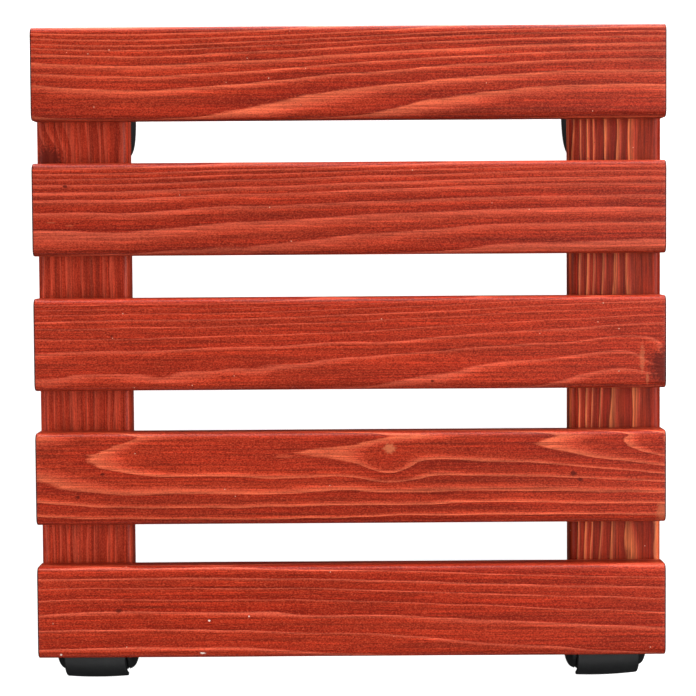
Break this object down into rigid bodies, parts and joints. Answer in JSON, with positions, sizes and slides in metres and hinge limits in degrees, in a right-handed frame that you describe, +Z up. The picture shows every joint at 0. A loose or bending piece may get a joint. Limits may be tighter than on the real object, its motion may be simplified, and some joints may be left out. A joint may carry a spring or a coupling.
{
  "type": "plant trolley",
  "caption": "Square slatted wooden plant trolley: parallel slats screwed across two rails, on twin-wheel swivel castors.",
  "frame": {"origin": "on the floor, in the middle of the footprint that the platform and the trailing castors make at rest", "axes": "+Z up, +X along the slats, +Y towards the slat that the castors trail away from"},
  "size_m": [0.3, 0.3228, 0.0876],
  "materials": {
    "stained_wood": "softwood with a red mahogany stain, satin",
    "hood_plastic": "moulded black nylon, fine matt texture",
    "wheel_plastic": "moulded black nylon, satin",
    "zinc_steel": "bright zinc plate"
  },
  "bodies": {
    "platform": {"slat_1": "stained_wood", "slat_2": "stained_wood", "slat_3": "stained_wood", "slat_4": "stained_wood", "slat_5": "stained_wood", "rail_left": "stained_wood", "rail_right": "stained_wood", "slat_screw_1_left": "zinc_steel", "slat_screw_2_left": "zinc_steel", "slat_screw_3_left": "zinc_steel", "slat_screw_4_left": "zinc_steel", "slat_screw_5_left": "zinc_steel", "slat_screw_1_right": "zinc_steel", "slat_screw_2_right": "zinc_steel", "slat_screw_3_right": "zinc_steel", "slat_screw_4_right": "zinc_steel", "slat_screw_5_right": "zinc_steel", "castor_front_left_plate": "zinc_steel", "castor_front_left_stem": "zinc_steel", "plate_screw_front_left_a": "zinc_steel", "plate_screw_front_left_b": "zinc_steel", "plate_screw_front_left_c": "zinc_steel", "plate_screw_front_left_d": "zinc_steel", "castor_front_right_plate": "zinc_steel", "castor_front_right_stem": "zinc_steel", "plate_screw_front_right_a": "zinc_steel", "plate_screw_front_right_b": "zinc_steel", "plate_screw_front_right_c": "zinc_steel", "plate_screw_front_right_d": "zinc_steel", "castor_rear_left_plate": "zinc_steel", "castor_rear_left_stem": "zinc_steel", "plate_screw_rear_left_a": "zinc_steel", "plate_screw_rear_left_b": "zinc_steel", "plate_screw_rear_left_c": "zinc_steel", "plate_screw_rear_left_d": "zinc_steel", "castor_rear_right_plate": "zinc_steel", "castor_rear_right_stem": "zinc_steel", "plate_screw_rear_right_a": "zinc_steel", "plate_screw_rear_right_b": "zinc_steel", "plate_screw_rear_right_c": "zinc_steel", "plate_screw_rear_right_d": "zinc_steel"},
    "castor_front_left": {"castor_front_left_hood": "hood_plastic", "castor_front_left_axle": "zinc_steel"},
    "castor_front_left_wheel_left": {"castor_front_left_wheel_left": "wheel_plastic"},
    "castor_front_left_wheel_right": {"castor_front_left_wheel_right": "wheel_plastic"},
    "castor_front_right": {"castor_front_right_hood": "hood_plastic", "castor_front_right_axle": "zinc_steel"},
    "castor_front_right_wheel_left": {"castor_front_right_wheel_left": "wheel_plastic"},
    "castor_front_right_wheel_right": {"castor_front_right_wheel_right": "wheel_plastic"},
    "castor_rear_left": {"castor_rear_left_hood": "hood_plastic", "castor_rear_left_axle": "zinc_steel"},
    "castor_rear_left_wheel_left": {"castor_rear_left_wheel_left": "wheel_plastic"},
    "castor_rear_left_wheel_right": {"castor_rear_left_wheel_right": "wheel_plastic"},
    "castor_rear_right": {"castor_rear_right_hood": "hood_plastic", "castor_rear_right_axle": "zinc_steel"},
    "castor_rear_right_wheel_left": {"castor_rear_right_wheel_left": "wheel_plastic"},
    "castor_rear_right_wheel_right": {"castor_rear_right_wheel_right": "wheel_plastic"}
  },
  "joints": [
    {"name": "castor_front_left_swivel", "type": "hinge", "parent": "platform", "child": "castor_front_left", "pos_m": [-0.1286, -0.11792, 0.02], "axis": [0, 0, 1], "continuous": true},
    {"name": "castor_front_left_wheel_left_spin", "type": "hinge", "parent": "castor_front_left", "child": "castor_front_left_wheel_left", "pos_m": [-0.1286, -0.13692, 0.02], "axis": [1, 0, 0], "continuous": true},
    {"name": "castor_front_left_wheel_right_spin", "type": "hinge", "parent": "castor_front_left", "child": "castor_front_left_wheel_right", "pos_m": [-0.1286, -0.13692, 0.02], "axis": [1, 0, 0], "continuous": true},
    {"name": "castor_front_right_swivel", "type": "hinge", "parent": "platform", "child": "castor_front_right", "pos_m": [0.1273, -0.11832, 0.02], "axis": [0, 0, 1], "continuous": true},
    {"name": "castor_front_right_wheel_left_spin", "type": "hinge", "parent": "castor_front_right", "child": "castor_front_right_wheel_left", "pos_m": [0.12803, -0.1373, 0.02], "axis": [0.9993, 0.0384, 0], "continuous": true},
    {"name": "castor_front_right_wheel_right_spin", "type": "hinge", "parent": "castor_front_right", "child": "castor_front_right_wheel_right", "pos_m": [0.12803, -0.1373, 0.02], "axis": [0.9993, 0.0384, 0], "continuous": true},
    {"name": "castor_rear_left_swivel", "type": "hinge", "parent": "platform", "child": "castor_rear_left", "pos_m": [-0.1282, 0.14039, 0.02], "axis": [0, 0, 1], "continuous": true},
    {"name": "castor_rear_left_wheel_left_spin", "type": "hinge", "parent": "castor_rear_left", "child": "castor_rear_left_wheel_left", "pos_m": [-0.1282, 0.12139, 0.02], "axis": [1, 0, 0], "continuous": true},
    {"name": "castor_rear_left_wheel_right_spin", "type": "hinge", "parent": "castor_rear_left", "child": "castor_rear_left_wheel_right", "pos_m": [-0.1282, 0.12139, 0.02], "axis": [1, 0, 0], "continuous": true},
    {"name": "castor_rear_right_swivel", "type": "hinge", "parent": "platform", "child": "castor_rear_right", "pos_m": [0.1275, 0.14039, 0.02], "axis": [0, 0, 1], "continuous": true},
    {"name": "castor_rear_right_wheel_left_spin", "type": "hinge", "parent": "castor_rear_right", "child": "castor_rear_right_wheel_left", "pos_m": [0.12823, 0.1214, 0.02], "axis": [0.9993, 0.0384, 0], "continuous": true},
    {"name": "castor_rear_right_wheel_right_spin", "type": "hinge", "parent": "castor_rear_right", "child": "castor_rear_right_wheel_right", "pos_m": [0.12823, 0.1214, 0.02], "axis": [0.9993, 0.0384, 0], "continuous": true}
  ]
}
